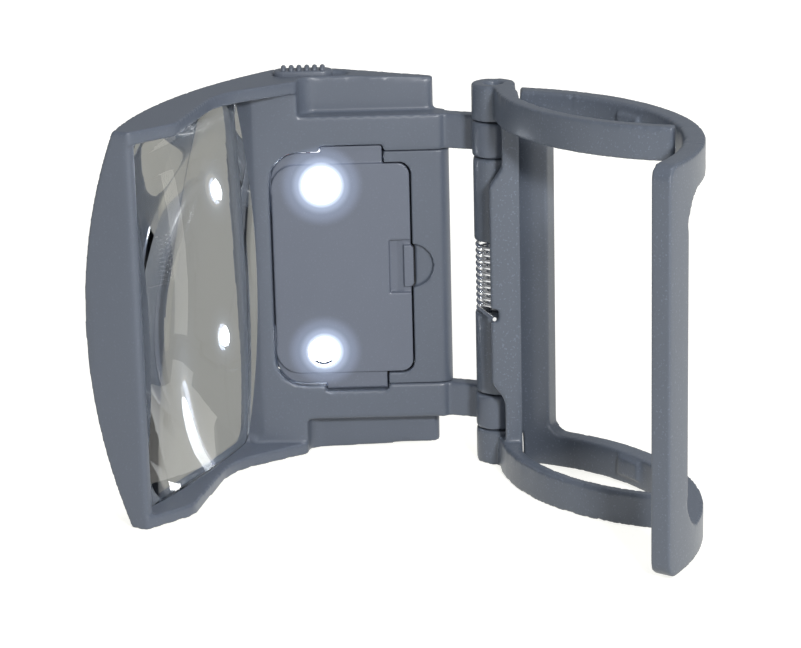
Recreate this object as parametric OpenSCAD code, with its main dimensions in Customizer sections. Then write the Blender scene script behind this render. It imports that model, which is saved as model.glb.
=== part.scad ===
// Lighted clip-on loupe. A lens head with two lights swings on the pin of a sprung bottle clip.
// The pin stands on the origin. +X runs along the clip, +Y lies behind it and +Z points up.

/* [Cells and their case] */
// Length of one cell
cell_l = 44.5; // [43.5:0.1:45.5]
// Diameter of one cell
cell_d = 10.5; // [9.9:0.1:10.6]
// Room for the contacts at both ends of a cell together
contact_room = 2.7; // [2.5:0.1:4]
// Gap between the two cells
cell_gap = 0.4; // [0.2:0.1:0.8]
// Thickness of the case walls
case_wall = 1.4; // [1:0.1:1.8]
// Thickness of the wall between the cells and the lights
inner_wall = 0.8; // [0.6:0.1:1]
// Distance from the hinge pin to the right end of the case
case_reach = 9; // [8.5:0.1:11]
// Distance from the hinge pin to the front of the case
face_y = 6; // [5.8:0.1:7]

/* [Hinge] */
// Height of one knuckle of the front jaw or the head
knuckle_h = 7.5; // [6.5:0.1:9]
// Radius of the knuckles
knuckle_r = 4.5; // [4.2:0.1:4.7]
// Radius of the pin
pin_r = 1.9; // [1.5:0.1:2]
// Running gap around the pin
pin_fit = 0.05; // [0.03:0.01:0.08]
// Gap between neighbouring knuckles
knuckle_gap = 0.25; // [0.2:0.05:0.4]
// Depth of the pin below the top knuckle
pin_sink = 1; // [0.5:0.1:2]

/* [Front jaw] */
// Outer radius of the front jaw
front_r = 43.4; // [42:0.1:45]
// Thickness of the front jaw
front_t = 3; // [2.6:0.1:3.4]
// Height of a front jaw arm
front_h = 6.7; // [6:0.1:7]

/* [Rear jaw] */
// Outer radius of the rear jaw
rear_r = 46.9; // [45:0.1:48]
// Thickness of the rear jaw
rear_t = 4.15; // [3.6:0.05:4.6]
// Height of a rear jaw arm
rear_h = 6.7; // [6:0.1:7.5]
// Distance of the rear jaw from the top and bottom planes
rear_inset = 0.7; // [0.5:0.1:1]
// Width of the bar at the free end, along the arc
bar_w = 8; // [6:0.1:9]

/* [Spring] */
// Wire of the jaw spring
wire_d = 0.85; // [0.7:0.05:0.9]
// Radius of the middle of the wire
coil_r = 3.75; // [3.4:0.05:3.8]
// Number of whole curls
curls = 10; // [8:1:10]
// Room for the spring between the rear jaw's knuckles
spring_room = 15; // [15:0.1:17]

/* [Lens] */
// Width of the lens
lens_w = 46; // [44:0.5:48]
// Angle between the case front and the lens
lens_turn = 65.4; // [63:0.1:68]
// Depth of the lens below the dome of the head
lens_sink = 5.5; // [5:0.1:6.5]
// Radius of the lens face that looks at the bottle
lens_in_r = 190; // [170:1:230]
// Thickness of the lens at its corners
lens_edge = 0.9; // [0.7:0.1:1.2]
// Width of the ring that holds the lens
bezel_w = 1.8; // [1.4:0.1:2.4]
// Thickness of the ring that holds the lens
bezel_t = 2; // [1.4:0.1:2.6]

/* [Head] */
// Thickness of the hood's roof and floor
hood_wall = 2.6; // [2.2:0.1:3]
// Thickness of the wall at the hood's far end
end_wall = 2.6; // [2.2:0.1:3]
// Radius of the domed outside of the head
dome_r = 105; // [103:0.1:107]
// Height of the dome above the plane of the lens
dome_rise = 12.5; // [12:0.1:13]
// Thickness of the rear cover
cover_t = 1.4; // [1.2:0.1:1.8]
// Thickness of the arms that carry the head
arm_t = 3.8; // [3.2:0.1:4.2]
// Thickness of the battery door's base plate
door_t = 0.9; // [0.8:0.1:1.2]
// Height of the door's pad above its base plate
pad_h = 0.6; // [0.4:0.1:0.8]

/* [Lights and switch] */
// Diameter of one light
led_d = 5; // [4.8:0.1:5]
// Distance between the two lights
led_pitch = 35.6; // [32:0.1:38]
// Thickness of the lights' board
board_t = 1.4; // [1:0.1:1.6]
// Length of the switch knob
knob_l = 12.2; // [11:0.1:13]
// Width of the switch knob
knob_w = 4.6; // [4:0.1:4.8]
// Travel of the switch knob
knob_travel = 3; // [2:0.1:3.2]

/* [Hidden] */
$fn = 64;

fit = 0.1;
gap = 0.3;
far = 40;
arc_steps = 8;
shell = [0.40, 0.44, 0.50];
steel = [0.72, 0.73, 0.74];

// Heights. The case is as tall as its cells and contacts, and two knuckles stand above and below it.
case_h = cell_l + contact_room + 2*case_wall;
clip_h = case_h + 4*knuckle_h;
mid_z = clip_h/2;
case_z = 2*knuckle_h;
spring_z = mid_z - spring_room/2;

// Clip. Both jaws are arcs that start at the pin.
front_dir = -4.3;
front_c = front_r*[cos(front_dir), sin(front_dir)];
rear_pull = 0.3;
rear_dir = -101.5;
rear_c = (rear_r - rear_pull)*[cos(rear_dir), sin(rear_dir)];
rear_start = rear_dir + 180;
web_end = 63;
bar_end = -36.2;
bar_start = bar_end + bar_w/rear_r*180/PI;
arm_clear = 0.5;
root_r = knuckle_r + arm_clear;
tip_gap = 0.7;
jaw_d = norm(rear_c - front_c);
jaw_turn = atan2(rear_c[1] - front_c[1], rear_c[0] - front_c[0]);
front_in = front_r - front_t;
tip_reach = rear_r - rear_t - tip_gap;
front_tip = jaw_turn + 360 + acos((front_in*front_in + jaw_d*jaw_d - tip_reach*tip_reach)
    /(2*front_in*jaw_d));

// Head, from front to back.
pad_y = face_y + 0.2;
base_y = pad_y + pad_h;
door_back = base_y + door_t;
cell_play = 0.25;
cell_y = door_back + cell_play + cell_d/2;
cover_y = cell_y + cell_d/2 + 0.15;
strip_y = face_y - 0.4;
front_wall = 1.8;
back_wall = 1.4;
block_y = face_y + 4;

// Head, from right to left.
case_x = -case_reach;
cell_x = [case_x - case_wall - cell_play - cell_d/2,
    case_x - case_wall - cell_play - cell_d*3/2 - cell_gap];
bay_x = cell_x[1] - cell_d/2 - 0.15;
lit_x = bay_x - inner_wall;
flange_r = led_d/2 + 0.3;
led_x = lit_x - 0.2 - flange_r;
door_x = case_x - 8.3;
door_end = led_x - 9.8;
frame_x = door_end - gap;
strip_x = case_x - 0.5;
block_x = case_x - 3;
cliff_x = door_end + 6.1;
slant = [[block_x, block_y + 2.4], [lit_x, cover_y]];
slant_rise = (slant[1][1] - slant[0][1])/(slant[1][0] - slant[0][0]);
function slant_y(x) = slant[0][1] + slant_rise*(x - slant[0][0]);

// Lens. Places on it are given along its width and outwards from its near corner.
lens_z = hood_wall + fit;
lens_corner = [door_end - 6.8, face_y + 1.2];
along = [cos(180 + lens_turn), sin(180 + lens_turn)];
outward = [sin(180 + lens_turn), -cos(180 + lens_turn)];
function lens_xy(a, n) = lens_corner + a*along + n*outward;
function lens_corner_xy(a, n, r) = [lens_xy(a, n)[0], lens_xy(a, n)[1], r];
dome_c = lens_xy(lens_w/2 - 1.2, dome_rise - dome_r);
half_d = norm([lens_w/2, mid_z - lens_z]);
lens_bulge = lens_in_r - sqrt(lens_in_r*lens_in_r - half_d*half_d);
lens_rise = dome_rise - lens_sink;
lens_sag = lens_rise - lens_edge;
lens_out_r = (half_d*half_d + lens_sag*lens_sag)/(2*lens_sag);
lens_reach = 10;
beyond = 20;
lens_corner_r = 2;
cheek_t = 2.2;
rim_a = lens_w + end_wall;

// Lights.
led_tip = pad_y - 0.9;
led_h = 8.6;
board_y = led_tip + led_h;
board_x = [door_end + 0.6, lit_x - 0.6];
board_z = case_z + 3;

// Switch.
knob_x = cliff_x + 1.1;
knob_end = knob_x - 6.1;
knob_y = block_y + 3.3;
recess = 0.85;
stem = [2.4, 1.6];

// An outline with rounded corners: each corner is its place and its radius.
function unit(v) = v/norm(v);
function flat(p) = [p[0], p[1]];
function turn(a) = a > 180 ? a - 360 : a < -180 ? a + 360 : a;
function corner(a, b, c) = let (
    p = flat(b),
    u = unit(flat(a) - p),
    v = unit(flat(c) - p),
    half = acos(u*v)/2,
    m = p + unit(u + v)*b[2]/sin(half),
    s = p + u*b[2]/tan(half) - m,
    e = p + v*b[2]/tan(half) - m,
    start = atan2(s[1], s[0]),
    sweep = turn(atan2(e[1], e[0]) - start))
    [for (i = [0:arc_steps])
        m + b[2]*[cos(start + sweep*i/arc_steps), sin(start + sweep*i/arc_steps)]];
function rounded(c) = [for (i = [0:len(c) - 1])
    each c[i][2] > 0 ? corner(c[(i + len(c) - 1)%len(c)], c[i], c[(i + 1)%len(c)]) : [flat(c[i])]];
function box_corners(x0, y0, x1, y1, r0, r1) = [[x0, y0, r0], [x1, y0, r1], [x1, y1, r1],
    [x0, y1, r0]];

// The piece below the middle plane and its mirror image above it.
module both() {
    children();
    translate([0, 0, clip_h]) mirror([0, 0, 1]) children();
}

module prism(corners, z0, z1) {
    translate([0, 0, z0]) linear_extrude(z1 - z0) polygon(rounded(corners));
}

// A slab with its outline in the front view, between two distances behind the pin.
module slab(corners, y0, y1) {
    translate([0, y1, 0]) rotate([90, 0, 0]) linear_extrude(y1 - y0) polygon(rounded(corners));
}

module block(x0, y0, z0, x1, y1, z1) {
    translate([x0, y0, z0]) cube([x1 - x0, y1 - y0, z1 - z0]);
}

module ring(c, r, t, a0, a1, z0, z1) {
    translate([c[0], c[1], z0]) rotate([0, 0, a0]) rotate_extrude(angle = a1 - a0, $fn = 128)
        translate([r - t, 0]) square([t, z1 - z0]);
}

module upright(x, y, r, z0, z1) {
    translate([x, y, z0]) cylinder(r = r, h = z1 - z0);
}

module lying(x, z, r, y0, y1) {
    translate([x, y0, z]) rotate([-90, 0, 0]) cylinder(r = r, h = y1 - y0);
}

module pin_bore() {
    upright(0, 0, pin_r + pin_fit, -1, clip_h + 1);
}

module dome(r) {
    translate([dome_c[0], dome_c[1], mid_z]) sphere(r = r, $fn = 256);
}

// The corner between an upright and a level edge of the rear jaw, filled up to a hollow arc.
module corner_wedge(angle, side, r, z) {
    hollow = [for (i = [0:arc_steps]) r*[1 - sin(90*i/arc_steps), 1 - cos(90*i/arc_steps)]];
    outline = concat([[-1, -1], [r, -1]], hollow, [[-1, r]]);
    translate([rear_c[0] + (rear_r + 2)*cos(angle), rear_c[1] + (rear_r + 2)*sin(angle), z])
        rotate([90, 0, angle - 90]) linear_extrude(rear_t + 4)
        polygon([for (p = outline) [side*p[0], p[1]]]);
}

module rear_jaw() {
    arm_top = rear_inset + rear_h;
    web_r = knuckle_r + 0.4;
    lug = [30.6, 39.5];
    lug_h = 0.9;
    web_fillet = 3;
    bar_fillet = 7;
    end_fillet = 3;
    leg_end = spring_path[len(spring_path) - 1];
    color(shell) difference() {
        union() {
            ring(rear_c, rear_r, rear_t, bar_end, rear_start, rear_inset, clip_h - rear_inset);
            both() ring(rear_c, rear_r - rear_t + 0.3, lug_h + 0.3, lug[0], lug[1], rear_inset + 2,
                arm_top - 0.8);
            both() upright(0, 0, knuckle_r - 0.1, case_z + knuckle_gap/2, spring_z);
        }
        difference() {
            ring(rear_c, rear_r + 2, rear_t + 4, bar_start, web_end, arm_top, clip_h - arm_top);
            both() corner_wedge(web_end, 1, web_fillet, arm_top);
            both() corner_wedge(bar_start, -1, bar_fillet, arm_top);
        }
        both() block(-far, -far/2, -1, root_r, far/2, knuckle_h);
        both() upright(0, 0, web_r, knuckle_h - 1, case_z);
        upright(0, 0, web_r, spring_z, clip_h - spring_z);
        both() corner_wedge(bar_end, -1, end_fillet, rear_inset);
        pin_bore();
        translate(leg_end) rotate([0, 90, leg_dir]) translate([0, 0, -leg_in])
            cylinder(r = wire_d/2 + fit, h = leg_in + 0.5);
    }
}

module hinge_pin() {
    color(steel) upright(0, 0, pin_r, 0, clip_h - pin_sink);
}

// The spring's path: a leg to the front jaw, the curls, and a leg into the rear jaw.
hole = [-0.75, -9.3];
hole_dir = atan2(hole[1], hole[0]);
coil_start = hole_dir - acos(coil_r/norm(hole));
coil_end = 45;
coil_sweep = turn(coil_end - coil_start) - 360*(curls + (turn(coil_end - coil_start) > 0 ? 1 : 0));
coil_z = spring_z + 0.1 + wire_d/2;
coil_rise = spring_room - 0.2 - wire_d;
coil_steps = ceil(-coil_sweep/45);
leg_dir = coil_end - 90;
leg_in = 3.8;
leg_l = 8;
function coil_point(i) = let (a = coil_start + coil_sweep*i/coil_steps)
    [coil_r*cos(a), coil_r*sin(a), coil_z + coil_rise*i/coil_steps];
spring_path = concat([[hole[0], hole[1], coil_z], [hole[0], hole[1] + wire_d, coil_z]],
    [for (i = [0:coil_steps]) coil_point(i)],
    [for (d = [leg_l - wire_d, leg_l]) coil_point(coil_steps) + d*[cos(leg_dir), sin(leg_dir), 0]]);
curl_gap = min([for (i = [0:coil_steps - 6]) for (k = [i + 6:coil_steps])
    norm(coil_point(k) - coil_point(i)) - wire_d]);

// One tube along a path that never runs along the given direction.
module tube(path, r, sides, aside) {
    last = len(path) - 1;
    function way(i) = unit(path[min(i + 1, last)] - path[max(i - 1, 0)]);
    function side(i) = unit(cross(way(i), aside));
    points = [for (i = [0:last]) for (k = [0:sides - 1])
        path[i] + r*(cos(360*k/sides)*side(i) + sin(360*k/sides)*cross(side(i), way(i)))];
    walls = [for (i = [0:last - 1]) for (k = [0:sides - 1])
        let (a = i*sides + k, b = i*sides + (k + 1)%sides)
            each [[a, a + sides, b], [b, a + sides, b + sides]]];
    caps = [for (k = [1:sides - 2]) each [[0, k, k + 1],
        [last*sides, last*sides + k + 1, last*sides + k]]];
    polyhedron(points, concat(walls, caps));
}

module jaw_spring() {
    echo(str("Least gap between two curls of the spring: ", curl_gap, " mm"));
    color(steel) tube(spring_path, wire_d/2, 6, [0, 0, 1]);
}

module front_jaw() {
    root_x = knuckle_r + 0.1;
    root_y = [-1, -8, -14.5];
    root = [[1.2, root_y[0], 0], [root_x - 0.7, root_y[0], 0], [root_x, root_y[1], 0],
        [root_x, root_y[2], 1.4], [2.4, root_y[2], 0]];
    plate_x = [-1.5, 1.2, knuckle_r + 0.2];
    plate_y = [-9.5, -6.9];
    plate_z = case_z + 2.5;
    notch = [-1.6, 0.1, -0.6, 2];
    color(shell) difference() {
        union() {
            both() {
                upright(0, 0, knuckle_r, 0, knuckle_h - knuckle_gap/2);
                ring(front_c, front_r, front_t, 180 + front_dir, front_tip, 0, front_h);
                prism(root, 0, front_h);
            }
            slab([[plate_x[2], front_h - 3, 0], [plate_x[2], clip_h - front_h + 3, 0],
                [plate_x[1], clip_h - front_h + 3, 0], [plate_x[1], clip_h - plate_z + 2, 2],
                [plate_x[0], clip_h - plate_z - 2, 2], [plate_x[0], plate_z + 2, 2],
                [plate_x[1], plate_z - 2, 2], [plate_x[1], front_h - 3, 0]], plate_y[0], plate_y[1]);
        }
        pin_bore();
        block(notch[0], plate_y[0] - 1, coil_z + notch[2], notch[1], plate_y[1] + 1,
            coil_z + notch[3]);
    }
}

// The roof's front edge swells over the lens between these places on it, each with its radius.
brow = [12.2, -2.4, 16];
bend = [lens_w - 7.8, -7.5, 6];
rim_n = -2.7;
rim_r = 1.2;

// Outlines of the head in plan.
roof = [[block_x, block_y, 1.5], [cliff_x, block_y, 3.5], [cliff_x, strip_y - 0.2, 1],
    lens_corner_xy(brow[0], brow[1], brow[2]), lens_corner_xy(bend[0], bend[1], bend[2]),
    lens_corner_xy(rim_a, rim_n, rim_r),
    lens_corner_xy(rim_a, beyond, 0), [lens_xy(rim_a, beyond)[0], cover_y, 0],
    [slant[1][0], slant[1][1], 4], [slant[0][0], slant[0][1], 1]];
upper = [[block_x, block_y, 1.5], [cliff_x, block_y, 3.5], [cliff_x, strip_y, 0.6],
    [frame_x - 1, strip_y, 0], [frame_x - 1, cover_y, 0], [slant[1][0], slant[1][1], 4],
    [slant[0][0], slant[0][1], 1]];
strip = [[strip_x, strip_y, 2], [frame_x - 1, strip_y, 0], [frame_x - 1, cover_y, 0],
    [slant[1][0], slant[1][1], 4], [strip_x, slant_y(strip_x), 1.5]];
cheek = [[frame_x, strip_y, 0], [lens_corner[0] + 1.6, strip_y, 0.8], lens_corner_xy(0, -0.3, 0),
    lens_corner_xy(0, beyond, 0), [lens_xy(0, beyond)[0], cover_y, 0], [frame_x, cover_y, 0]];
rim = [lens_corner_xy(lens_w, rim_n, 0.8), lens_corner_xy(lens_w, beyond, 0),
    lens_corner_xy(rim_a, beyond, 0), lens_corner_xy(rim_a, rim_n, rim_r)];
lens_bed = [lens_corner_xy(-1, -0.3, 0), lens_corner_xy(-1, beyond, 0),
    lens_corner_xy(lens_w + 1, beyond, 0), lens_corner_xy(lens_w + 1, -0.3, 0)];
pocket = [[frame_x + 1, strip_y + front_wall, 0], [lens_corner[0] + 1.8, strip_y + front_wall, 0.6],
    lens_corner_xy(-cheek_t, 2, 0), lens_corner_xy(-cheek_t, beyond, 0),
    [lens_xy(0, beyond)[0], cover_y - back_wall, 0], [frame_x + 1, cover_y - back_wall, 0]];
cavity = [[cell_x[0] - 2.5, block_y + 1.2, 0], [frame_x + 0.6, block_y + 1.2, 0],
    [frame_x + 0.6, cover_y - 1.5, 0], [slant[1][0], cover_y - 1.5, 0],
    [cell_x[0] - 2.5, slant_y(cell_x[0] - 2.5) - 1.5, 0]];

// An arm from the case to its knuckle, with parallel faces.
elbow = [-4.2, 4.2];
arm_from = [strip_x - 0.6, strip_y + 0.8];
arm_way = unit(elbow - arm_from);
arm_side = arm_t*[-arm_way[1], arm_way[0]];
arm = [[strip_x - 4, arm_from[1], 0], [arm_from[0], arm_from[1], 2], [elbow[0], elbow[1], 1.5],
    [-1.5, 1.5, 0], [3, 3, 0], [elbow[0] + arm_side[0], elbow[1] + arm_side[1], 2.2],
    [arm_from[0] + arm_side[0], arm_from[1] + arm_side[1], 3],
    [strip_x - 4, arm_from[1] + arm_side[1], 0]];

// The door opening in the head's front, and the parts of the door.
tab_x = [led_x + 0.6, door_x - 5.5];
tab_z = case_z - 1;
ledge_z = case_z + 0.3;
pad_z = case_z + 2.7;
opening_r = 6;
// The door turns on the round front edge of its pad's left side.
turn_r = 0.4;
turn_x = door_end + turn_r;
turn_y = pad_y + turn_r;
tongue_x = [door_x - 1.5, door_x + 0.5];
tongue_z = [mid_z - 4, mid_z + 4.8];
function tongue_outline(s) = box_corners(tongue_x[0] - s, tongue_z[0] - s, tongue_x[1] + s,
    tongue_z[1] + s, 0, 0.8);
function pad_outline(s) = box_corners(door_end - s, pad_z - s, door_x + s, clip_h - pad_z + s,
    opening_r - 1, 2.5);
function ledge_outline(s) = box_corners(door_end - s, ledge_z - s, tab_x[0] + s,
    clip_h - ledge_z + s, opening_r - 0.3, 0);
function tab_outline(s) = box_corners(tab_x[0] - s, tab_z - s, tab_x[1] + s,
    clip_h - tab_z + s, 0, 0);

// Pieces in the frame of the lens: along its width, then inwards, then up.
module at_lens() {
    translate([lens_corner[0], lens_corner[1], 0]) rotate([0, 0, 180 + lens_turn]) children();
}

module slot(l, w, x0, x1, z0, z1) {
    translate([0, knob_y, z0]) linear_extrude(z1 - z0) polygon(rounded(
        box_corners(x0 - l/2, -w/2, x1 + l/2, w/2, w/2 - 0.01, w/2 - 0.01)));
}

screw_x = frame_x - 3.2;
screw_z = case_z + 6;
screw_r = 1;

module head_frame() {
    drop = 0.7;
    drop_from = slant[1][0] + 3;
    color(shell) difference() {
        intersection() {
            dome(dome_r);
            union() {
                both() {
                    prism(roof, 0, hood_wall);
                    prism(upper, 0, knuckle_h);
                    prism(strip, knuckle_h, case_z);
                    upright(0, 0, knuckle_r, knuckle_h + knuckle_gap/2, case_z - knuckle_gap/2);
                    prism(arm, knuckle_h + knuckle_gap/2, case_z - knuckle_gap/2);
                }
                prism(cheek, 0, clip_h);
                prism(rim, 0, clip_h);
                prism(lens_bed, 0, clip_h);
                slab(box_corners(frame_x - 0.5, case_z - 0.5, frame_x + opening_r + 0.5,
                    clip_h - case_z + 0.5, 0, 0), strip_y, strip_y + front_wall);
            }
        }
        pin_bore();
        at_lens() slab(box_corners(0, hood_wall, lens_w, clip_h - hood_wall, lens_corner_r + fit,
            lens_corner_r + fit), -2*beyond, beyond);
        slab(box_corners(frame_x, case_z, far, clip_h - case_z, opening_r, 0), strip_y - 1,
            strip_y + front_wall + 1);
        slab(tab_outline(gap), strip_y - 1, door_back + 0.1);
        both() prism(cavity, hood_wall, case_z + 1);
        difference() {
            intersection() {
                prism(pocket, hood_wall + 2, clip_h - hood_wall - 2);
                dome(dome_r - 2);
            }
            both() lying(screw_x, screw_z, 2.2, strip_y, cover_y);
        }
        both() lying(screw_x, screw_z, screw_r + 0.05, cover_y - 9, cover_y + 1);
        slot(knob_l + 2*fit, knob_w + 2*fit, knob_end + knob_l/2, knob_end + knob_l/2 + knob_travel,
            clip_h - recess, clip_h + 1);
        block(knob_x - stem[0]/2 - gap, knob_y - stem[1]/2 - fit, clip_h - hood_wall - 1,
            knob_x + stem[0]/2 + knob_travel + gap, knob_y + stem[1]/2 + fit, clip_h);
        both() translate([drop_from, 0, 0]) rotate([0, -atan(drop/(block_x - drop_from)), 0])
            block(0, 0, -3, far, far, 0);
    }
}

module battery_case() {
    corners = [[case_x, face_y, 2.5], [lit_x, face_y, 0], [lit_x, cover_y, 0], [case_x, cover_y, 0.6]];
    z0 = case_z + fit;
    color(shell) difference() {
        prism(corners, z0, clip_h - z0);
        block(bay_x, door_back, case_z + case_wall, case_x - case_wall, cover_y + 1,
            clip_h - case_z - case_wall);
        slab(pad_outline(gap), face_y - 1, door_back + 0.05);
        slab(tab_outline(gap), face_y - 1, door_back + 0.05);
        slab(tongue_outline(gap), face_y - 1, door_back + 0.05);
        lying(door_x, mid_z + 0.5, 4.6, face_y - 1, face_y + 1);
        for (x = lug_x) block(x - lug_w/2 - 0.2, lug_y - 0.2, mid_z, x + lug_w/2 + 0.2,
            lug_y + lug_t + 0.2, clip_h);
    }
}

module rear_cover() {
    outline = box_corners(frame_x - 6, case_z + 0.2, case_x, clip_h - case_z - 0.2, 3, 2);
    rib_x = case_x - case_wall - fit;
    color(shell) difference() {
        union() {
            intersection() {
                slab(outline, cover_y, cover_y + cover_t);
                dome(dome_r);
            }
            block(rib_x - 1.2, cover_y - 1.3, case_z + case_wall + gap, rib_x, cover_y + 0.5,
                clip_h - case_z - case_wall - gap);
            for (z = [mid_z - 12, mid_z + 12])
                lying((board_x[0] + board_x[1])/2, z, 1.6, board_y + board_t, cover_y + 0.5);
        }
        both() {
            lying(screw_x, screw_z, screw_r + 0.15, cover_y - 1, cover_y + cover_t + 1);
            lying(screw_x, screw_z, 2.2, cover_y + cover_t - 0.8, cover_y + cover_t + 1);
        }
    }
}

module cover_screws() {
    top = cover_y + cover_t;
    color(steel) both() difference() {
        union() {
            lying(screw_x, screw_z, screw_r, cover_y - 8.5, top - 0.4);
            lying(screw_x, screw_z, 2, top - 0.8, top - 0.05);
        }
        block(screw_x - 1.3, top - 0.5, screw_z - 0.25, screw_x + 1.3, top + 1, screw_z + 0.25);
        block(screw_x - 0.25, top - 0.5, screw_z - 1.3, screw_x + 0.25, top + 1, screw_z + 1.3);
    }
}

module lens_block() {
    at_lens() slab(box_corners(fit, lens_z, lens_w - fit, clip_h - lens_z, lens_corner_r,
        lens_corner_r), -beyond, lens_reach);
}

// The ball whose surface is the lens's outer face, or lies the given height above it.
module lens_outside(above) {
    at_lens() translate([lens_w/2, lens_out_r - lens_rise, mid_z])
        sphere(r = lens_out_r + above, $fn = 360);
}

module lens() {
    color([0.85, 0.88, 0.9, 0.6]) intersection() {
        lens_block();
        lens_outside(0);
        at_lens() translate([lens_w/2, lens_bulge - lens_in_r, mid_z]) sphere(r = lens_in_r, $fn = 400);
    }
}

module lens_ring() {
    inner = bezel_w + fit;
    color(shell) difference() {
        intersection() {
            lens_block();
            lens_outside(bezel_t);
            dome(dome_r - fit);
        }
        lens_outside(0.02);
        at_lens() slab(box_corners(inner, lens_z + bezel_w, lens_w - inner, clip_h - lens_z - bezel_w,
            3, 3), -2*beyond, lens_reach + 1);
    }
}

cell_z = case_z + case_wall + contact_room/2;
nub_h = 1;
plate_t = 0.4;
plate_z = case_z + case_wall;

// A cell with its nub on top, or below when it stands on its head.
module cell(x, nub_up) {
    z0 = nub_up ? cell_z : cell_z + nub_h;
    color([0.16, 0.17, 0.19]) {
        upright(x, cell_y, cell_d/2, z0, z0 + cell_l - nub_h);
        upright(x, cell_y, 2.7, cell_z, cell_z + cell_l);
    }
}

module cell_left() {
    cell(cell_x[1], true);
}

module cell_right() {
    cell(cell_x[0], false);
}

module bridge_contact() {
    color(steel) {
        block(cell_x[1] - 4, cell_y - 3.5, plate_z, cell_x[0] + 4, cell_y + 3.5, plate_z + plate_t);
        upright(cell_x[0], cell_y, 1.8, plate_z, cell_z);
    }
}

module contact_springs() {
    rise = contact_room/2 - plate_t;
    color(steel) {
        translate([cell_x[1], cell_y, plate_z + plate_t]) cylinder(r1 = 3.6, r2 = 2.2, h = rise);
        translate([cell_x[0], cell_y, clip_h - plate_z - plate_t - rise])
            cylinder(r1 = 2.2, r2 = 3.6, h = rise);
    }
}

lug_x = [cell_x[1] - 4.2, cell_x[0] - 4.1];
lug_w = 1.2;
lug_t = 0.5;
lug_y = block_y + 1.8;
lug_top = clip_h - case_z + 2;

module tab_contacts() {
    top = clip_h - plate_z;
    color(steel) {
        for (i = [0, 1]) {
            x = cell_x[1 - i];
            block(lug_x[i] - lug_w/2, lug_y, top - plate_t, x + 4, cell_y + 3.5, top);
            block(lug_x[i] - lug_w/2, lug_y, top - plate_t, lug_x[i] + lug_w/2, lug_y + lug_t, lug_top);
        }
        upright(cell_x[1], cell_y, 1.8, top - contact_room/2, top);
    }
}

module light_board() {
    color([0.85, 0.87, 0.85])
        block(board_x[0], board_y, board_z, board_x[1], board_y + board_t, clip_h - board_z);
}

module light(z) {
    profile = concat([[0, 0], [flange_r, 0], [flange_r, 1], [led_d/2, 1]],
        [for (i = [0:2*arc_steps]) let (a = 45*i/arc_steps)
            [led_d/2*cos(a), led_h - led_d/2 + led_d/2*sin(a)]]);
    color([0.95, 0.97, 1]) translate([led_x, board_y, z]) rotate([90, 0, 0])
        rotate_extrude() polygon(profile);
}

module light_upper() {
    light(mid_z + led_pitch/2);
}

module light_lower() {
    light(mid_z - led_pitch/2);
}

module resistor() {
    x = board_x[0] + 3;
    r = 1.1;
    lead = 0.3;
    y = board_y - r - fit;
    color([0.75, 0.65, 0.5]) {
        upright(x, y, r, mid_z - 3.2, mid_z + 3.2);
        upright(x, y, lead, mid_z - 6, mid_z + 6);
        for (z = [mid_z - 6 + lead, mid_z + 6 - lead]) lying(x, z, lead, y, board_y);
    }
}

body_z = clip_h - hood_wall - 5.8;
terminal_x = [knob_x + 5, knob_x + 0.5, knob_x - 4];

module switch_body() {
    color([0.15, 0.15, 0.16]) difference() {
        union() {
            block(knob_x - 5.4, knob_y - 2, body_z, knob_x + 6.8, knob_y + 2.2, clip_h - hood_wall);
            for (x = terminal_x)
                block(x - 0.5, knob_y - 0.3, body_z - 1.8, x + 0.5, knob_y + 0.3, body_z + 1);
        }
        block(knob_x - stem[0]/2 - gap, knob_y - stem[1]/2 - fit, clip_h - hood_wall - 2.2,
            knob_x + stem[0]/2 + knob_travel + gap, knob_y + stem[1]/2 + fit, clip_h);
    }
}

module switch_knob() {
    low = clip_h - recess + fit;
    top = clip_h + 0.9;
    bump = [0.55, 0.7];
    bump_pitch = [1.6, 1.4];
    columns = 6;
    color(shell) {
        slot(0, knob_w, knob_end, knob_end + knob_l, low, top);
        block(knob_x - stem[0]/2, knob_y - stem[1]/2, clip_h - hood_wall - 2, knob_x + stem[0]/2,
            knob_y + stem[1]/2, low + 0.5);
        for (i = [0:columns - 1]) for (k = [-1, 0, 1])
            upright(knob_end + knob_l/2 + (i - (columns - 1)/2)*bump_pitch[0],
                knob_y + bump_pitch[1]*k, bump[0], top - 0.3, top + bump[1]);
    }
}

module lead_wires() {
    r = 0.45;
    y = board_y - r;
    front = knob_y - 0.3 - 0.2 - r;
    board_top = clip_h - board_z;
    color([0.7, 0.15, 0.12]) {
        tube([[lug_x[0], lug_y + lug_t + r, lug_top - 1.2], [lug_x[0], lug_y + lug_t + r, body_z - 2.4],
            [terminal_x[0], front, body_z - 0.6]], r, 8, [0, 1, 0]);
        tube([[terminal_x[1], front, body_z - 0.6], [terminal_x[1], y, board_top + 2],
            [terminal_x[1], y, board_top - 1]], r, 8, [0, 1, 0]);
        tube([[lug_x[1], lug_y + lug_t + r, lug_top - 1.2], [lug_x[1] - 3, lug_y + 1.6, lug_top + 1.5],
            [lug_x[0], knob_y + 1.8, lug_top + 1.5], [terminal_x[2] + 2, knob_y + 1.8, lug_top + 0.5],
            [terminal_x[2], y, board_top + 3], [terminal_x[2], y, board_top - 1]], r, 8, [0, 1, 0]);
    }
}

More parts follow.
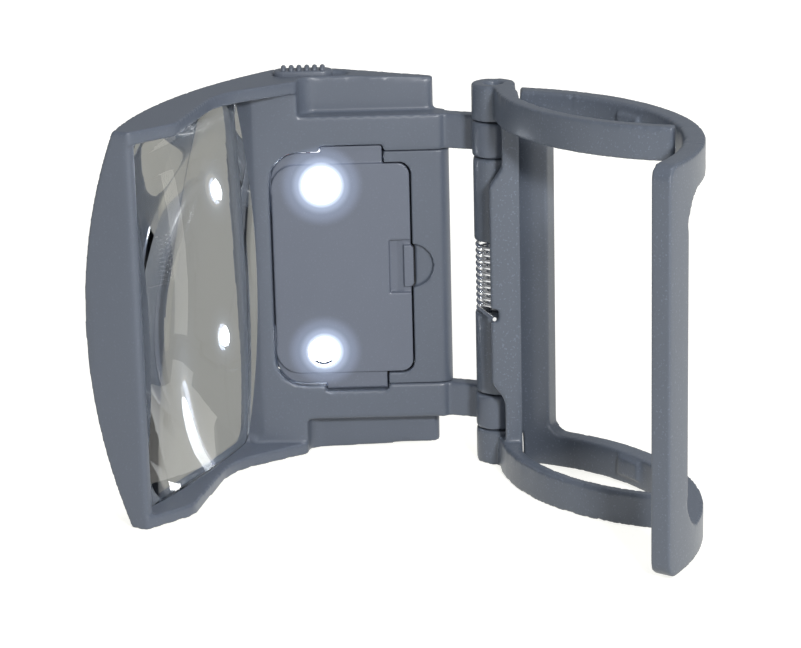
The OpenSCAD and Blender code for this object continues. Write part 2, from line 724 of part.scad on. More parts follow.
module battery_door() {
    notch = [door_x - 4.5, mid_z - 5.3, mid_z + 6];
    nail_w = 1.6;
    nail_y = door_back - 0.45;
    nail_pocket = [[notch[0], pad_y - 1, 0], [notch[0], nail_y, 0], [notch[0] + nail_w, nail_y, 0],
        [tongue_x[0], base_y, 0], [tongue_x[0], pad_y - 1, 0]];
    lip = 0.8;
    color(shell) difference() {
        union() {
            slab(pad_outline(0), pad_y, door_back);
            slab(ledge_outline(0), base_y, door_back);
            slab(tab_outline(0), base_y, door_back);
            slab(box_corners(door_end - lip, mid_z - 12, door_end + 2, mid_z + 12, 0, 0),
                strip_y + front_wall + fit, door_back + 0.6);
            slab(tongue_outline(0), pad_y, door_back);
        }
        difference() {
            slab(box_corners(notch[0], notch[1], door_x + 1, notch[2], 0.4, 0), pad_y - 1, base_y);
            slab(tongue_outline(0), pad_y - 2, base_y + 1);
        }
        prism(nail_pocket, notch[1], notch[2]);
        both() lying(led_x, mid_z - led_pitch/2, led_d/2 + 0.6, pad_y - 1, door_back + 2);
        difference() {
            block(door_end - 1, pad_y - 1, pad_z + opening_r, turn_x, turn_y,
                clip_h - pad_z - opening_r);
            upright(turn_x, turn_y, turn_r, pad_z, clip_h - pad_z);
        }
    }
}

rear_jaw();
hinge_pin();
jaw_spring();
front_jaw();
head_frame();
battery_case();
rear_cover();
cover_screws();
lens();
lens_ring();
cell_left();
cell_right();
bridge_contact();
contact_springs();
tab_contacts();
light_board();
light_upper();
light_lower();
resistor();
switch_body();
lead_wires();
switch_knob();
battery_door();
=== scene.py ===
"""Finishes, light and view of the lighted clip-on loupe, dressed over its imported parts."""
import math

import bmesh
import bpy
from mathutils import Matrix, Vector


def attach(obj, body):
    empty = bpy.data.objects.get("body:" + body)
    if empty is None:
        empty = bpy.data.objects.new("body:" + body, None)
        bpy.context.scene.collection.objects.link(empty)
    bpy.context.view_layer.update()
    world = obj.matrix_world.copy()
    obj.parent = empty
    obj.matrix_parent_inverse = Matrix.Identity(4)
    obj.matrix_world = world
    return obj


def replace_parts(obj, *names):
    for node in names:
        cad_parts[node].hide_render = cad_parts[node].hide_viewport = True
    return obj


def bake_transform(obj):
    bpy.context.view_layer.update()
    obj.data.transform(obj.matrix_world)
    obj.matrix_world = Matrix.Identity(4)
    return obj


MM = 0.001
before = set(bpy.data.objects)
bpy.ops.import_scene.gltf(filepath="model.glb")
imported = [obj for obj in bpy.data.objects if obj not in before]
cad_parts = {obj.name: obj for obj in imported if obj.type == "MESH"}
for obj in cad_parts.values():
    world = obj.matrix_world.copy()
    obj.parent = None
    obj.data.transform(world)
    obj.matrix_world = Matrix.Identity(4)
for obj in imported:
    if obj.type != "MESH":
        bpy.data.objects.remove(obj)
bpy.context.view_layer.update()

# Places and sizes of the part, in millimetres.
CLIP_H = 80.0
MID_Z = CLIP_H / 2
FIT = 0.1
ARC_STEPS = 8

# Finishes: the height of their bumps in millimetres, how strongly these show, and the range of
# the noise that turns into pale specks, which are painted glints.
GRAIN_H = 0.03
LINES_H = 0.02
LINES_BUMP = 0.15
MOTTLE = 0.10
SHEEN = 0.65
GLINTS_FROM, GLINTS_TO = 0.66, 0.80

# Mouldings: how their meshes are evened out and their edges worn.
WELD = 0.0005
SIMPLIFY = 0.02
WEAR = 0.5
FACE_WEIGHT = 50

# Lens: a rounded rectangle that stands across the hood, with two bulging faces.
LENS_CORNER = Vector((-52.6, 7.2))
LENS_TURN = math.radians(180 + 65.4)
LENS_W = 46.0
LENS_Z = 2.7
LENS_ROUND = 2.0
LENS_IN_R = 190.0
LENS_RISE = 7.0
LENS_EDGE = 0.9
LENS_HALF = math.hypot(LENS_W / 2, MID_Z - LENS_Z)
LENS_SAG = LENS_RISE - LENS_EDGE
LENS_OUT_R = (LENS_HALF**2 + LENS_SAG**2) / (2 * LENS_SAG)
LENS_BULGE = LENS_IN_R - math.sqrt(LENS_IN_R**2 - LENS_HALF**2)
LENS_INDEX = 1.49
LENS_RINGS = 22
LENS_STEP = 1.8

# Spring: a leg to the front jaw, ten curls and a leg into the rear jaw.
WIRE_R = 0.425
WIRE_SIDES = 14
COIL_R = 3.75
CURLS = 10
COIL_STEP = 12
COIL_LOW = 33.025
COIL_RISE = 13.95
COIL_END = 45.0
HOLE = Vector((-0.75, -9.3))
LEG_L = 8.0

# Knob: a flat slider with three rows of six bumps.
KNOB_END = -44.7
KNOB_L = 12.2
KNOB_W = 4.6
KNOB_Y = 13.3
KNOB_LOW = 79.25
KNOB_TOP = 80.9
KNOB_EDGE = 0.45
KNOB_BUMPS = (6, 3)
BUMP_PITCH = (1.6, 1.4)
BUMP_R = 0.55
BUMP_H = 0.7

# Lights, with lengths in metres: their places, how far back their domes reach, and the glare
# painted round them as a glow in the plastic, which stands in for their light. The painted glare's
# core widens with the depth behind GLARE_FACE, and it stops at GLARE_BACK. On the cover it is
# narrower, so that it stays inside the case.
UPPER_LAMP = (-0.0354, 0.0, 0.0580)
LOWER_LAMP = (-0.0357, 0.0, 0.0224)
DOME_BACK = 0.0095
DOME_SHINE = 30.0
STEM_SHINE = 1.3
GLARE = 1.3
GLARE_CORES = (0.0038, 0.0030)
GLARE_REACH = 0.0052
GLARE_BACK = 0.0190
GLARE_FACE = 0.0085
GLARE_SPREAD = 0.7
COVER_CORES = (-0.0012, -0.0020)
COVER_REACH = 0.0010

# Floor, room and lamps, with lengths in metres. The floor is darker where the lens shows it.
FLOOR_HALF = 4.0
FLOOR_SHINE = 0.86
FLOOR_SHINE_IN_LENS = 0.30
ROOM_SHINE = 0.27
LAMP_TARGET = (-0.02, 0.0, 0.04)
GLOSSY_BOUNCES = 10

# View: the eye in millimetres, the focal length in points of the picture, and angles in radians.
EYE = (-20.506, -575.121, 200.704)
FOCAL = 2912.34
VIEW_W = 801
SENSOR_W = 36.0
PITCH, ROLL, YAW = 0.2889, -0.0244, -0.0012


def tone(red, green, blue):
    """A colour given as it looks on a screen, from 0 to 255, as the linear colour of a socket."""
    linear = [c / 255 / 12.92 if c <= 10 else ((c / 255 + 0.055) / 1.055) ** 2.4
              for c in (red, green, blue)]
    return (*linear, 1.0)


# ---- Nodes ----

def feed(tree, node, values):
    """Sets a node's inputs, each from a plain value or from another node's output."""
    for label, value in values.items():
        if isinstance(value, bpy.types.NodeSocket):
            tree.links.new(value, node.inputs[label])
        else:
            node.inputs[label].default_value = value


def fed(tree, kind, values=None, **settings):
    """The outputs of a new node with these settings and inputs."""
    node = tree.nodes.new(kind)
    for label, value in settings.items():
        setattr(node, label, value)
    feed(tree, node, values or {})
    return node.outputs


def maths(tree, operation, *values, clamp=False):
    """The result of a maths node."""
    return fed(tree, "ShaderNodeMath", dict(enumerate(values)), operation=operation,
               use_clamp=clamp)[0]


def new_group(name, takes, gives):
    """A shader group with sockets from takes (name, kind, default) and gives (name, kind)."""
    tree = bpy.data.node_groups.new(name, "ShaderNodeTree")
    for label, kind, start in takes:
        socket = tree.interface.new_socket(label, in_out="INPUT", socket_type=kind)
        socket.default_value = start
    for label, kind in gives:
        tree.interface.new_socket(label, in_out="OUTPUT", socket_type=kind)
    return tree, tree.nodes.new("NodeGroupInput").outputs, tree.nodes.new("NodeGroupOutput")


def moulded_grain():
    """Fine spark-eroded grain of a moulding, with pale specks painted in as glints and a soft
    uneven tone under it.
    """
    tree, given, gives = new_group(
        "Moulded grain",
        [("Colour", "NodeSocketColor", tone(112, 118, 130)),
         ("Grain Scale", "NodeSocketFloat", 4000.0), ("Mottle Scale", "NodeSocketFloat", 60.0),
         ("Mottle", "NodeSocketFloat", 0.06), ("Roughness", "NodeSocketFloat", 0.5),
         ("Roughness Spread", "NodeSocketFloat", 0.12),
         ("Glint Scale", "NodeSocketFloat", 2600.0), ("Painted Glints", "NodeSocketFloat", 0.12)],
        [("Colour", "NodeSocketColor"), ("Roughness", "NodeSocketFloat"),
         ("Height", "NodeSocketFloat")])
    place = fed(tree, "ShaderNodeTexCoord")["Object"]

    def noise(scale, detail):
        return fed(tree, "ShaderNodeTexNoise",
                   {"Vector": place, "Scale": given[scale], "Detail": detail})["Fac"]

    grain = noise("Grain Scale", 2.0)
    uneven = maths(tree, "SUBTRACT", noise("Mottle Scale", 3.0), 0.5)
    amount = maths(tree, "MULTIPLY_ADD", uneven, given["Mottle"], 1.0)
    # Pale specks in the colour: painted glints of the grain.
    glint_noise = noise("Glint Scale", 0.0)
    painted_glint = fed(tree, "ShaderNodeMapRange", {
        "Value": glint_noise, "From Min": GLINTS_FROM, "From Max": GLINTS_TO})["Result"]
    bright = maths(tree, "MULTIPLY_ADD", painted_glint, given["Painted Glints"], amount)
    shade = fed(tree, "ShaderNodeVectorMath", {0: given["Colour"], "Scale": bright},
                operation="SCALE")["Vector"]
    rough = maths(tree, "MULTIPLY_ADD", maths(tree, "SUBTRACT", grain, 0.5),
                  given["Roughness Spread"], given["Roughness"])
    feed(tree, gives, {"Colour": shade, "Roughness": rough, "Height": grain})
    return tree


def drawn_metal():
    """Fine lines and dull patches of drawn or plated metal."""
    tree, given, gives = new_group(
        "Drawn metal",
        [("Colour", "NodeSocketColor", tone(200, 200, 202)),
         ("Line Scale", "NodeSocketFloat", 900.0), ("Dullness", "NodeSocketFloat", 0.25)],
        [("Colour", "NodeSocketColor"), ("Roughness", "NodeSocketFloat"),
         ("Height", "NodeSocketFloat")])
    place = fed(tree, "ShaderNodeTexCoord")["Object"]
    drawn = fed(tree, "ShaderNodeMapping", {"Vector": place, "Scale": (1.0, 1.0, 0.08)})["Vector"]
    lines = fed(tree, "ShaderNodeTexNoise",
                {"Vector": drawn, "Scale": given["Line Scale"], "Detail": 4.0})["Fac"]
    rough = maths(tree, "MULTIPLY", lines, given["Dullness"])
    feed(tree, gives, {"Colour": given["Colour"], "Roughness": rough, "Height": lines})
    return tree


def painted_lamp_glare():
    """Painted glare: a glow put into the plastic around the lights, white and then blue outwards.
    """
    tree, given, gives = new_group(
        "Painted lamp glare",
        [("Upper Lamp", "NodeSocketVector", UPPER_LAMP),
         ("Lower Lamp", "NodeSocketVector", LOWER_LAMP),
         ("Upper Core", "NodeSocketFloat", GLARE_CORES[0]),
         ("Lower Core", "NodeSocketFloat", GLARE_CORES[1]),
         ("Reach", "NodeSocketFloat", GLARE_REACH), ("Back", "NodeSocketFloat", GLARE_BACK)],
        [("Colour", "NodeSocketColor")])
    place = fed(tree, "ShaderNodeTexCoord")["Object"]
    depth = fed(tree, "ShaderNodeSeparateXYZ", {0: place})["Y"]
    behind = maths(tree, "SUBTRACT", depth, GLARE_FACE, clamp=True)
    wider = maths(tree, "MULTIPLY", behind, GLARE_SPREAD)

    def around(lamp, core):
        """How far a point is past a lamp's core, as a share of the reach."""
        flat = fed(tree, "ShaderNodeVectorMath", {0: place, 1: (1.0, 0.0, 1.0)},
                   operation="MULTIPLY")["Vector"]
        apart = fed(tree, "ShaderNodeVectorMath", {0: flat, 1: given[lamp]},
                    operation="DISTANCE")["Value"]
        past = maths(tree, "SUBTRACT", apart, given[core])
        return maths(tree, "DIVIDE", maths(tree, "SUBTRACT", past, wider), given["Reach"])

    nearer = maths(tree, "MINIMUM", around("Upper Lamp", "Upper Core"),
                   around("Lower Lamp", "Lower Core"))
    fade = tree.nodes.new("ShaderNodeValToRGB")
    fade.color_ramp.interpolation = "EASE"
    stops = fade.color_ramp.elements
    stops[0].position, stops[0].color = 0.0, (1.0, 1.0, 1.0, 1.0)
    stops[1].position, stops[1].color = 1.0, (0.0, 0.0, 0.0, 1.0)
    for position, colour in ((0.08, (0.48, 0.55, 0.68, 1.0)), (0.22, (0.19, 0.23, 0.32, 1.0)),
                             (0.50, (0.065, 0.08, 0.12, 1.0))):
        stops.new(position).color = colour
    feed(tree, fade, {"Fac": nearer})
    front = maths(tree, "LESS_THAN", depth, given["Back"])
    kept = fed(tree, "ShaderNodeVectorMath", {0: fade.outputs["Color"], "Scale": front},
               operation="SCALE")["Vector"]
    feed(tree, gives, {"Colour": kept})
    return tree


GRAIN = moulded_grain()
METAL = drawn_metal()
PAINTED_GLARE = painted_lamp_glare()


# ---- Materials ----

def new_material(name):
    material = bpy.data.materials.new(name)
    material.use_nodes = True
    return material, material.node_tree, material.node_tree.nodes["Principled BSDF"]


def textured(name, group, values, strength, height, metallic=0.0):
    """A material whose colour, roughness and bump come from a group with its own values."""
    material, tree, shader = new_material(name)
    surface = fed(tree, "ShaderNodeGroup", values, node_tree=group)
    bump = fed(tree, "ShaderNodeBump", {
        "Strength": strength, "Distance": height * MM, "Height": surface["Height"]})
    feed(tree, shader, {"Base Color": surface["Colour"], "Roughness": surface["Roughness"],
                        "Normal": bump["Normal"], "Metallic": metallic})
    return material


def plastic(name, colour, roughness=0.37, bump=0.35, painted_glints=0.12):
    material = textured(name, GRAIN, {
        "Colour": colour, "Roughness": roughness, "Mottle": MOTTLE, "Painted Glints": painted_glints},
        bump, GRAIN_H)
    shader = material.node_tree.nodes["Principled BSDF"]
    shader.inputs["Specular IOR Level"].default_value = SHEEN
    return material


def metal(name, colour, dullness):
    return textured(name, METAL, {"Colour": colour, "Dullness": dullness}, LINES_BUMP, LINES_H,
                    metallic=1.0)


def with_painted_glare(material, values=None):
    """Paints the lights' glare into a plastic as a glow. values holds the painted glare's own
    inputs.
    """
    tree = material.node_tree
    glare = fed(tree, "ShaderNodeGroup", values, node_tree=PAINTED_GLARE)
    feed(tree, tree.nodes["Principled BSDF"],
         {"Emission Color": glare["Colour"], "Emission Strength": GLARE})
    return material


def clear(name, colour, index):
    """Clear plastic that lets plain light through to what stands behind it."""
    material, tree, shader = new_material(name)
    feed(tree, shader, {"Base Color": colour, "Roughness": 0.0, "IOR": index,
                        "Transmission Weight": 1.0})
    path = fed(tree, "ShaderNodeLightPath")
    plain = maths(tree, "MAXIMUM", path["Is Shadow Ray"], path["Is Diffuse Ray"])
    through = fed(tree, "ShaderNodeBsdfTransparent")[0]
    choice = fed(tree, "ShaderNodeMixShader", {0: plain, 1: shader.outputs[0], 2: through})[0]
    feed(tree, tree.nodes["Material Output"], {"Surface": choice})
    return material


def lit(name, colour, strength, stem):
    """A clear light that shines from its dome, with a faint stem inside the case."""
    material, tree, shader = new_material(name)
    place = fed(tree, "ShaderNodeTexCoord")["Object"]
    depth = fed(tree, "ShaderNodeSeparateXYZ", {0: place})["Y"]
    shine = fed(tree, "ShaderNodeMix", {
        "Factor": maths(tree, "GREATER_THAN", depth, DOME_BACK), "A": colour,
        "B": (*[c * stem / strength for c in colour[:3]], 1.0)}, data_type="RGBA")["Result"]
    feed(tree, shader, {"Base Color": colour, "Roughness": 0.15, "Emission Color": shine,
                        "Emission Strength": strength})
    return material


# The shell's pale specks, painted glints, are stronger than on the other plastics.
SHELL = plastic("Blue-grey moulding", tone(102, 110, 123), painted_glints=0.4)
# The cover, hood, case and door glow with the painted glare round the lights.
COVER = with_painted_glare(plastic("Blue-grey cover", tone(102, 110, 123)), {
    "Upper Core": COVER_CORES[0], "Lower Core": COVER_CORES[1], "Reach": COVER_REACH})
HOOD = with_painted_glare(plastic("Blue-grey hood", tone(103, 111, 125)), {"Back": DOME_BACK})
CASE = with_painted_glare(plastic("Blue-grey case", tone(103, 111, 125)))
# The door is the shell's plastic painted a lighter blue-grey: painted light from the lights beside
# it.
DOOR_PAINTED_LIGHTER = with_painted_glare(plastic("Blue-grey door painted lighter", tone(114, 121, 136)))
KNOB = plastic("Blue-grey knob", tone(107, 114, 127), roughness=0.32)
# The switch body, board and cell sleeves glow with the same painted glare.
BLACK = with_painted_glare(plastic("Black switch plastic", tone(38, 38, 40), roughness=0.35))
LACQUER = with_painted_glare(plastic("White board lacquer", tone(200, 203, 200), roughness=0.5, bump=0.1))
SLEEVE = with_painted_glare(plastic("Dark cell sleeve", tone(62, 65, 71), roughness=0.25, bump=0.1))
CERAMIC = plastic("Resistor lacquer", tone(205, 180, 140), roughness=0.35)
LEAD = plastic("Red lead", tone(120, 26, 22), roughness=0.5)
PIN_STEEL = metal("Pin steel", tone(178, 180, 184), 0.5)
SPRING_STEEL = metal("Bright spring wire", tone(224, 225, 228), 0.3)
SCREW_STEEL = metal("Screw steel", tone(186, 187, 190), 0.5)
NICKEL = metal("Nickel plate", tone(208, 206, 198), 0.35)
GLASS = clear("Clear lens", tone(252, 253, 251), LENS_INDEX)
LIGHT = lit("Lit white light", tone(244, 249, 255), DOME_SHINE, STEM_SHINE)


# ---- Pieces ----

def as_object(name, mesh, body, material):
    """A piece that rides on a body, in its finish."""
    piece = bpy.data.objects.new(name, mesh)
    bpy.context.scene.collection.objects.link(piece)
    piece.data.materials.clear()
    piece.data.materials.append(material)
    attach(piece, body)
    return piece


def smooth(mesh, angle=40):
    mesh.shade_smooth()
    mesh.set_sharp_from_angle(angle=math.radians(angle))


def moulded(node, grain, passes, body, material, slot):
    """Stands in for a moulded node with the same form, its edges worn round."""
    form = bmesh.new()
    form.from_mesh(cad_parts[node].data)
    bmesh.ops.remove_doubles(form, verts=form.verts, dist=WELD * MM)
    mesh = bpy.data.meshes.new(node + "_soft")
    form.to_mesh(mesh)
    form.free()
    piece = as_object(node + "_soft", mesh, body, material)
    even = piece.modifiers.new("Even mesh", "REMESH")
    even.mode = "VOXEL"
    even.voxel_size = grain * MM
    even.adaptivity = SIMPLIFY
    even.use_smooth_shade = True
    worn = piece.modifiers.new("Round edges", "SMOOTH")
    worn.factor = WEAR
    worn.iterations = passes
    level = piece.modifiers.new("Level faces", "WEIGHTED_NORMAL")
    level.weight = FACE_WEIGHT
    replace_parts(piece, node)


# For each node: the mesh's grain in millimetres, the passes of wear, the body, finish and slot.
MOULDINGS = {
    "rear_jaw": (0.32, 9, "clip", SHELL, "shell"),
    "front_jaw": (0.32, 9, "jaw", SHELL, "shell"),
    "head_frame": (0.32, 7, "head", HOOD, "shell"),
    "battery_case": (0.24, 2, "head", CASE, "case_shell"),
    "rear_cover": (0.24, 2, "head", COVER, "shell"),
    "lens_ring": (0.24, 3, "head", SHELL, "shell"),
    "battery_door": (0.16, 2, "door", DOOR_PAINTED_LIGHTER, "door_shell")}
for node, values in MOULDINGS.items():
    moulded(node, *values)


def lens_place(along, height, inwards):
    """A point of the lens from its place along the width, its height and its depth inwards."""
    across = Vector((math.cos(LENS_TURN), math.sin(LENS_TURN)))
    deep = Vector((-math.sin(LENS_TURN), math.cos(LENS_TURN)))
    plan = LENS_CORNER + along * across + inwards * deep
    return Vector((plan.x, plan.y, height)) * MM


def rounded_outline(x0, y0, x1, y1, radius):
    corners = [(x1 - radius, y1 - radius, 0), (x0 + radius, y1 - radius, 90),
               (x0 + radius, y0 + radius, 180), (x1 - radius, y0 + radius, 270)]
    return [(x + radius * math.cos(math.radians(start + 90 * i / ARC_STEPS)),
             y + radius * math.sin(math.radians(start + 90 * i / ARC_STEPS)))
            for x, y, start in corners for i in range(ARC_STEPS + 1)]


def divided(outline, step):
    """The outline with points no further apart than the step."""
    points = []
    for a, b in zip(outline, outline[1:] + outline[:1]):
        count = max(1, math.ceil(math.dist(a, b) / step))
        points += [(a[0] + (b[0] - a[0]) * i / count, a[1] + (b[1] - a[1]) * i / count)
                   for i in range(count)]
    return points


def make_lens():
    """Two curved faces in rings from the middle out, joined round their rims."""
    outline = divided(
        rounded_outline(FIT, LENS_Z, LENS_W - FIT, CLIP_H - LENS_Z, LENS_ROUND), LENS_STEP)
    centre = (LENS_W / 2, MID_Z)

    def depth(a, z, outside):
        r2 = (a - centre[0]) ** 2 + (z - centre[1]) ** 2
        if outside:
            return -LENS_RISE + LENS_OUT_R - math.sqrt(LENS_OUT_R**2 - r2)
        return LENS_BULGE - LENS_IN_R + math.sqrt(LENS_IN_R**2 - r2)

    form = bmesh.new()
    rims = []
    for outside in (True, False):
        rows = [[form.verts.new(lens_place(*centre, depth(*centre, outside)))]]
        for k in range(1, LENS_RINGS + 1):
            share = math.sin(math.pi / 2 * k / LENS_RINGS)
            row = [(centre[0] + share * (a - centre[0]), centre[1] + share * (z - centre[1]))
                   for a, z in outline]
            rows.append([form.verts.new(lens_place(a, z, depth(a, z, outside))) for a, z in row])
        for k in range(1, LENS_RINGS + 1):
            for i in range(len(outline)):
                j = (i + 1) % len(outline)
                if k == 1:
                    form.faces.new((rows[0][0], rows[1][i], rows[1][j]))
                else:
                    form.faces.new((rows[k - 1][i], rows[k][i], rows[k][j], rows[k - 1][j]))
        rims.append(rows[-1])
    for i in range(len(outline)):
        j = (i + 1) % len(outline)
        form.faces.new((rims[0][i], rims[1][i], rims[1][j], rims[0][j]))
    bmesh.ops.recalc_face_normals(form, faces=form.faces)
    mesh = bpy.data.meshes.new("lens_clear")
    form.to_mesh(mesh)
    form.free()
    smooth(mesh, 30)
    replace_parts(as_object("lens_clear", mesh, "head", GLASS), "lens")


make_lens()


# ---- Geometry Nodes ----

def new_geometry_tree(name, takes):
    tree = bpy.data.node_groups.new(name, "GeometryNodeTree")
    tree.interface.new_socket("Geometry", in_out="INPUT", socket_type="NodeSocketGeometry")
    for label, kind, start in takes:
        socket = tree.interface.new_socket(label, in_out="INPUT", socket_type=kind)
        if start is not None:
            socket.default_value = start
    tree.interface.new_socket("Geometry", in_out="OUTPUT", socket_type="NodeSocketGeometry")
    return tree, tree.nodes.new("NodeGroupInput").outputs, tree.nodes.new("NodeGroupOutput")


def finished(tree, given, gives, geometry):
    """Ends a tree with real geometry in the finish that the tree is given."""
    real = fed(tree, "GeometryNodeRealizeInstances", {"Geometry": geometry})["Geometry"]
    done = fed(tree, "GeometryNodeSetMaterial", {"Geometry": real, "Material": given["Finish"]})
    feed(tree, gives, {"Geometry": done["Geometry"]})
    return tree


def grown(name, source, tree, values):
    """The plain mesh that a tree makes of an object, with the tree's inputs set by name."""
    bpy.context.scene.collection.objects.link(source)
    modifier = source.modifiers.new(name, "NODES")
    modifier.node_group = tree
    sockets = {s.name: s.identifier for s in tree.interface.items_tree
               if s.item_type == "SOCKET" and s.in_out == "INPUT"}
    for label, value in values.items():
        modifier[sockets[label]] = value
    evaluated = source.evaluated_get(bpy.context.evaluated_depsgraph_get())
    mesh = bpy.data.meshes.new_from_object(evaluated)
    mesh.name = name
    bpy.data.objects.remove(source)
    return mesh


def wire_tree():
    """Sweeps a round wire along a path."""
    tree, given, gives = new_geometry_tree("Round wire", [
        ("Wire Radius", "NodeSocketFloat", 0.0004), ("Sides", "NodeSocketInt", 12),
        ("Finish", "NodeSocketMaterial", None)])
    section = fed(tree, "GeometryNodeCurvePrimitiveCircle",
                  {"Radius": given["Wire Radius"], "Resolution": given["Sides"]})["Curve"]
    sweep = fed(tree, "GeometryNodeCurveToMesh", {
        "Curve": given["Geometry"], "Profile Curve": section, "Fill Caps": True})["Mesh"]
    return finished(tree, given, gives, sweep)


def bumps_tree():
    """Round bumps on a grid."""
    tree, given, gives = new_geometry_tree("Grip bumps", [
        ("Columns", "NodeSocketInt", 6), ("Rows", "NodeSocketInt", 3),
        ("Column Pitch", "NodeSocketFloat", 0.0016), ("Row Pitch", "NodeSocketFloat", 0.0014),
        ("Bump Radius", "NodeSocketFloat", 0.0005), ("Stretch", "NodeSocketFloat", 1.3),
        ("Place", "NodeSocketVector", (0.0, 0.0, 0.0)), ("Finish", "NodeSocketMaterial", None)])

    def span(count, pitch):
        gaps = maths(tree, "SUBTRACT", given[count], 1.0)
        return maths(tree, "MULTIPLY", gaps, given[pitch])

    grid = fed(tree, "GeometryNodeMeshGrid", {
        "Size X": span("Columns", "Column Pitch"), "Size Y": span("Rows", "Row Pitch"),
        "Vertices X": given["Columns"], "Vertices Y": given["Rows"]})["Mesh"]
    moved = fed(tree, "GeometryNodeTransform", {
        "Geometry": grid, "Translation": given["Place"]})["Geometry"]
    bump = fed(tree, "GeometryNodeMeshUVSphere", {
        "Segments": 16, "Rings": 10, "Radius": given["Bump Radius"]})["Mesh"]
    scale = fed(tree, "ShaderNodeCombineXYZ", {0: 1.0, 1: 1.0, 2: given["Stretch"]})[0]
    placed = fed(tree, "GeometryNodeInstanceOnPoints", {
        "Points": moved, "Instance": bump, "Scale": scale})["Instances"]
    return finished(tree, given, gives, placed)


def make_spring():
    """The spring as one wire: leg, coil and leg."""
    toward = math.degrees(math.atan2(HOLE.y, HOLE.x))
    start = toward - math.degrees(math.acos(COIL_R / HOLE.length))
    sweep = (COIL_END - start) % 360 - 360 * (CURLS + 1)
    steps = math.ceil(-sweep / COIL_STEP)
    points = [(HOLE.x, HOLE.y, COIL_LOW)]
    for i in range(steps + 1):
        a = math.radians(start + sweep * i / steps)
        points.append((COIL_R * math.cos(a), COIL_R * math.sin(a),
                       COIL_LOW + COIL_RISE * i / steps))
    leg = math.radians(COIL_END - 90)
    last = points[-1]
    points.append((last[0] + LEG_L * math.cos(leg), last[1] + LEG_L * math.sin(leg), last[2]))
    path = bpy.data.curves.new("spring_path", "CURVE")
    path.dimensions = "3D"
    line = path.splines.new("POLY")
    line.points.add(len(points) - 1)
    for point, place in zip(line.points, points):
        point.co = (*[c * MM for c in place], 1.0)
    mesh = grown("spring_wire", bpy.data.objects.new("spring_path", path), wire_tree(),
                 {"Wire Radius": WIRE_R * MM, "Sides": WIRE_SIDES, "Finish": SPRING_STEEL})
    smooth(mesh, 50)
    spring = bpy.data.objects.new("spring_wire", mesh)
    bpy.context.scene.collection.objects.link(spring)
    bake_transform(spring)
    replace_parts(spring, "jaw_spring")


def make_knob():
    """The slider with its rounded top edge, and the grip bumps on it."""
    outline = rounded_outline(KNOB_END, KNOB_Y - KNOB_W / 2, KNOB_END + KNOB_L,
                              KNOB_Y + KNOB_W / 2, KNOB_W / 2 - 0.01)
    form = bmesh.new()
    base = form.faces.new([form.verts.new((x * MM, y * MM, KNOB_LOW * MM)) for x, y in outline])
    top = bmesh.ops.extrude_face_region(form, geom=[base])
    lifted = [v for v in top["geom"] if isinstance(v, bmesh.types.BMVert)]
    bmesh.ops.translate(form, verts=lifted, vec=(0, 0, (KNOB_TOP - KNOB_LOW) * MM))
    bmesh.ops.recalc_face_normals(form, faces=form.faces)
    rim = [e for e in form.edges if all(v in lifted for v in e.verts)]
    bmesh.ops.bevel(form, geom=rim, offset=KNOB_EDGE * MM, segments=4, profile=0.5,
                    affect="EDGES")
    mesh = bpy.data.meshes.new("knob_slider")
    form.to_mesh(mesh)
    form.free()
    smooth(mesh)
    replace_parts(as_object("knob_slider", mesh, "knob", KNOB), "switch_knob")
    seed = bpy.data.objects.new("bump_seed", bpy.data.meshes.new("bump_seed"))
    bumps = grown("knob_bumps", seed, bumps_tree(), {
        "Columns": KNOB_BUMPS[0], "Rows": KNOB_BUMPS[1],
        "Column Pitch": BUMP_PITCH[0] * MM, "Row Pitch": BUMP_PITCH[1] * MM,
        "Bump Radius": BUMP_R * MM, "Stretch": 1.0,
        "Place": ((KNOB_END + KNOB_L / 2) * MM, KNOB_Y * MM, (KNOB_TOP + BUMP_H - BUMP_R) * MM),
        "Finish": KNOB})
    smooth(bumps)
    as_object("knob_bumps", bumps, "knob", KNOB)


make_spring()
make_knob()

# ---- Nodes that keep their own shape ----

FINISHES = {
    "hinge_pin": PIN_STEEL, "cover_screws": SCREW_STEEL, "cell_left": SLEEVE, "cell_right": SLEEVE,
    "bridge_contact": NICKEL, "contact_springs": NICKEL, "tab_contacts": NICKEL,
    "light_board": LACQUER, "light_upper": LIGHT, "light_lower": LIGHT, "resistor": CERAMIC,
    "switch_body": BLACK, "lead_wires": LEAD}
for node, material in FINISHES.items():
    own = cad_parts[node]
    own.data.materials.clear()
    own.data.materials.append(material)


# ---- Floor, light and view ----

def make_floor():
    """A pale floor that glows for the eye and for shiny faces, and less for what the lens shows."""
    half = FLOOR_HALF
    mesh = bpy.data.meshes.new("floor")
    mesh.from_pydata([(-half, -half, 0), (half, -half, 0), (half, half, 0), (-half, half, 0)], [],
                     [(0, 1, 2, 3)])
    floor = bpy.data.objects.new("floor", mesh)
    bpy.context.scene.collection.objects.link(floor)
    material = bpy.data.materials.new("Pale floor")
    material.use_nodes = True
    tree = material.node_tree
    tree.nodes.clear()
    path = fed(tree, "ShaderNodeLightPath")
    in_lens = path["Is Transmission Ray"]
    colour = fed(tree, "ShaderNodeMix", {
        "Factor": in_lens, "A": tone(182, 182, 180), "B": tone(76, 76, 69)},
        data_type="RGBA")["Result"]
    seen = maths(tree, "MAXIMUM", path["Is Camera Ray"], path["Is Glossy Ray"])
    level = maths(tree, "MULTIPLY_ADD", in_lens, FLOOR_SHINE_IN_LENS - FLOOR_SHINE, FLOOR_SHINE)
    surface = fed(tree, "ShaderNodeBsdfDiffuse", {"Color": colour})[0]
    glow = fed(tree, "ShaderNodeEmission", {
        "Color": (1.0, 0.995, 0.95, 1.0), "Strength": maths(tree, "MULTIPLY", seen, level)})[0]
    both = fed(tree, "ShaderNodeAddShader", {0: surface, 1: glow})[0]
    fed(tree, "ShaderNodeOutputMaterial", {"Surface": both})
    mesh.materials.append(material)


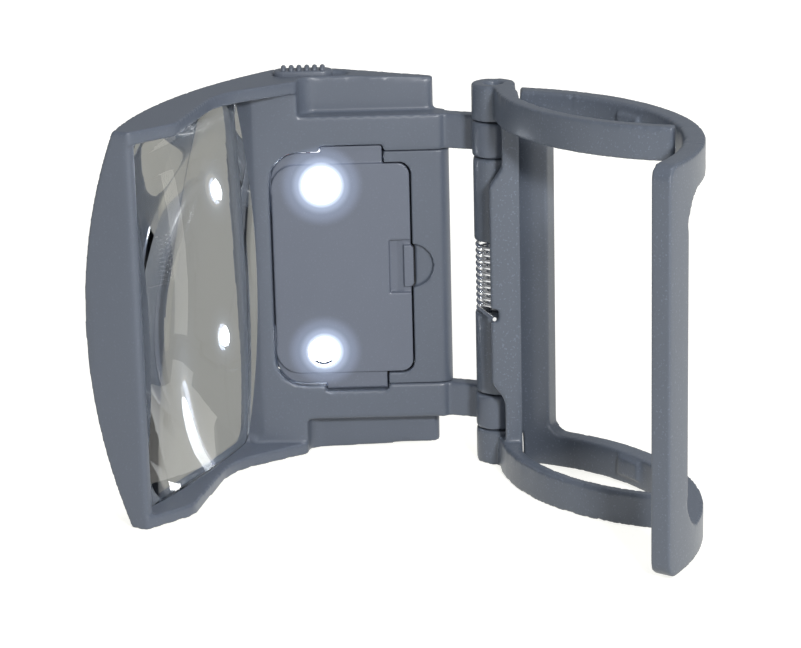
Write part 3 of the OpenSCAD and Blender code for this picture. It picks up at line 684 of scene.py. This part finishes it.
def make_world():
    world = bpy.data.worlds.new("Soft room")
    world.use_nodes = True
    bpy.context.scene.world = world
    feed(world.node_tree, world.node_tree.nodes["Background"],
         {"Color": (0.96, 0.98, 1.0, 1.0), "Strength": ROOM_SHINE})


def make_lamp(name, place, size, power, mirrored=True):
    """A lamp turned to the loupe. mirrored says whether shiny faces and the lens show it."""
    lamp = bpy.data.lights.new(name, "AREA")
    lamp.shape = "RECTANGLE"
    lamp.size, lamp.size_y = size
    lamp.energy = power
    holder = bpy.data.objects.new(name, lamp)
    bpy.context.scene.collection.objects.link(holder)
    holder.location = place
    holder.rotation_mode = "QUATERNION"
    holder.rotation_quaternion = (Vector(LAMP_TARGET) - Vector(place)).to_track_quat("-Z", "Y")
    holder.visible_transmission = holder.visible_glossy = mirrored


def make_camera():
    """The eye at its place, turned by yaw, pitch and roll."""
    ahead = Vector((-math.sin(YAW), math.cos(YAW), 0))
    side = Vector((math.cos(YAW), math.sin(YAW), 0))
    rise = Vector((0, 0, 1))
    forward = ahead * math.cos(PITCH) - rise * math.sin(PITCH)
    up = ahead * math.sin(PITCH) + rise * math.cos(PITCH)
    across = side * math.cos(ROLL) + up * math.sin(ROLL)
    upright = -side * math.sin(ROLL) + up * math.cos(ROLL)
    camera = bpy.data.cameras.new("view")
    camera.sensor_fit = "HORIZONTAL"
    camera.sensor_width = SENSOR_W
    camera.lens = FOCAL / VIEW_W * SENSOR_W
    camera.clip_start, camera.clip_end = 0.01, 20.0
    holder = bpy.data.objects.new("view", camera)
    bpy.context.scene.collection.objects.link(holder)
    turned = Matrix((across, upright, -forward)).transposed().to_4x4()
    holder.matrix_world = Matrix.Translation(Vector(EYE) * MM) @ turned
    bpy.context.scene.camera = holder


make_floor()
make_world()
make_lamp("flash", (0.14, -0.52, 0.28), (0.07, 0.05), 2.05)
make_lamp("ceiling", (0.20, -0.15, 0.70), (0.35, 0.35), 0.72)
make_lamp("behind", (0.15, 0.65, 0.25), (0.4, 0.4), 1.8, mirrored=False)
make_camera()
bpy.context.scene.view_settings.view_transform = "Standard"
bpy.context.scene.cycles.glossy_bounces = GLOSSY_BOUNCES
